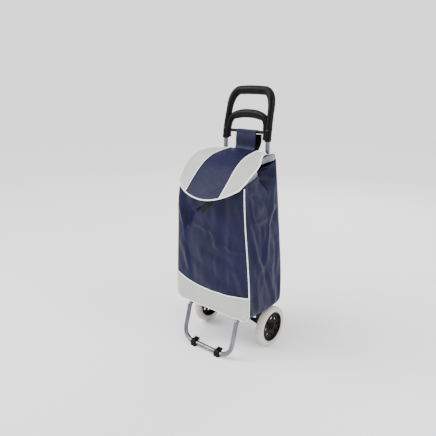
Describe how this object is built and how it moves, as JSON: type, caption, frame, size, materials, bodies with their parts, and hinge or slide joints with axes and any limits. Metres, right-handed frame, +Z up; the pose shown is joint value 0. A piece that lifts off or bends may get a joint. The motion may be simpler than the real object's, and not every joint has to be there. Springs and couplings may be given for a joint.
{
  "type": "shopping trolley",
  "caption": "Two-wheeled shopping trolley with a tube frame, moulded D handle, folding U-shaped foot and a tall cloth bag with a curved flap.",
  "frame": {"origin": "on the floor, under the middle of the trolley's box", "axes": "+X to the right seen from the front, +Y to the rear, towards the handle and wheels, +Z up"},
  "size_m": [0.34, 0.276, 0.9396],
  "materials": {
    "tube_steel": "satin",
    "fastener_steel": "satin",
    "handle_black": "gloss",
    "bracket_black": "satin",
    "tyre_pale": "matte",
    "hub_black": "satin",
    "navy_cloth": "woven",
    "pale_cloth": "woven",
    "collar_cloth": "woven",
    "black_webbing": "woven",
    "white_piping": "satin",
    "fibre_board": "matte"
  },
  "bodies": {
    "frame": {"axle_rod": "fastener_steel", "axle_washers": "fastener_steel", "bag_back_panel": "navy_cloth", "bag_floor_panel": "navy_cloth", "bag_front_panel": "navy_cloth", "bag_left_gusset": "navy_cloth", "bag_right_gusset": "navy_cloth", "bag_trim_panel": "pale_cloth", "bracket_screws": "fastener_steel", "foot_pivot_pins": "fastener_steel", "handle_moulding": "handle_black", "handle_screws": "fastener_steel", "hanging_strap": "navy_cloth", "left_axle_cap": "bracket_black", "left_tube_sleeve": "navy_cloth", "left_upright_tube": "tube_steel", "left_wheel_bracket": "bracket_black", "mouth_collar": "collar_cloth", "right_axle_cap": "bracket_black", "right_tube_sleeve": "navy_cloth", "right_upright_tube": "tube_steel", "right_wheel_bracket": "bracket_black", "strap_lining": "black_webbing"},
    "foot": {"foot_frame": "tube_steel", "left_foot_clip": "bracket_black", "right_foot_clip": "bracket_black", "base_board": "fibre_board"},
    "flap": {"flap_left_panel": "pale_cloth", "flap_centre_panel": "navy_cloth", "flap_right_panel": "pale_cloth", "closing_strap": "black_webbing", "strap_hook": "bracket_black"},
    "left_wheel": {"left_tyre": "tyre_pale", "left_hub": "hub_black"},
    "right_wheel": {"right_tyre": "tyre_pale", "right_hub": "hub_black"}
  },
  "joints": [
    {"name": "left_wheel_spin", "type": "hinge", "parent": "frame", "child": "left_wheel", "pos_m": [-0.152, 0.062, 0.076], "axis": [1, 0, 0], "continuous": true},
    {"name": "right_wheel_spin", "type": "hinge", "parent": "frame", "child": "right_wheel", "pos_m": [0.152, 0.062, 0.076], "axis": [1, 0, 0], "continuous": true},
    {"name": "foot_fold", "type": "hinge", "parent": "frame", "child": "foot", "pos_m": [0, 0.0635, 0.146], "axis": [-1, 0, 0], "range_deg": [0, 90], "deforming": ["bag_front_panel", "bag_left_gusset", "bag_right_gusset", "bag_floor_panel", "bag_trim_panel", "mouth_collar"]},
    {"name": "flap_open", "type": "hinge", "parent": "frame", "child": "flap", "pos_m": [0, 0.0796, 0.7214], "axis": [-1, 0, 0], "range_deg": [0, 100]}
  ]
}
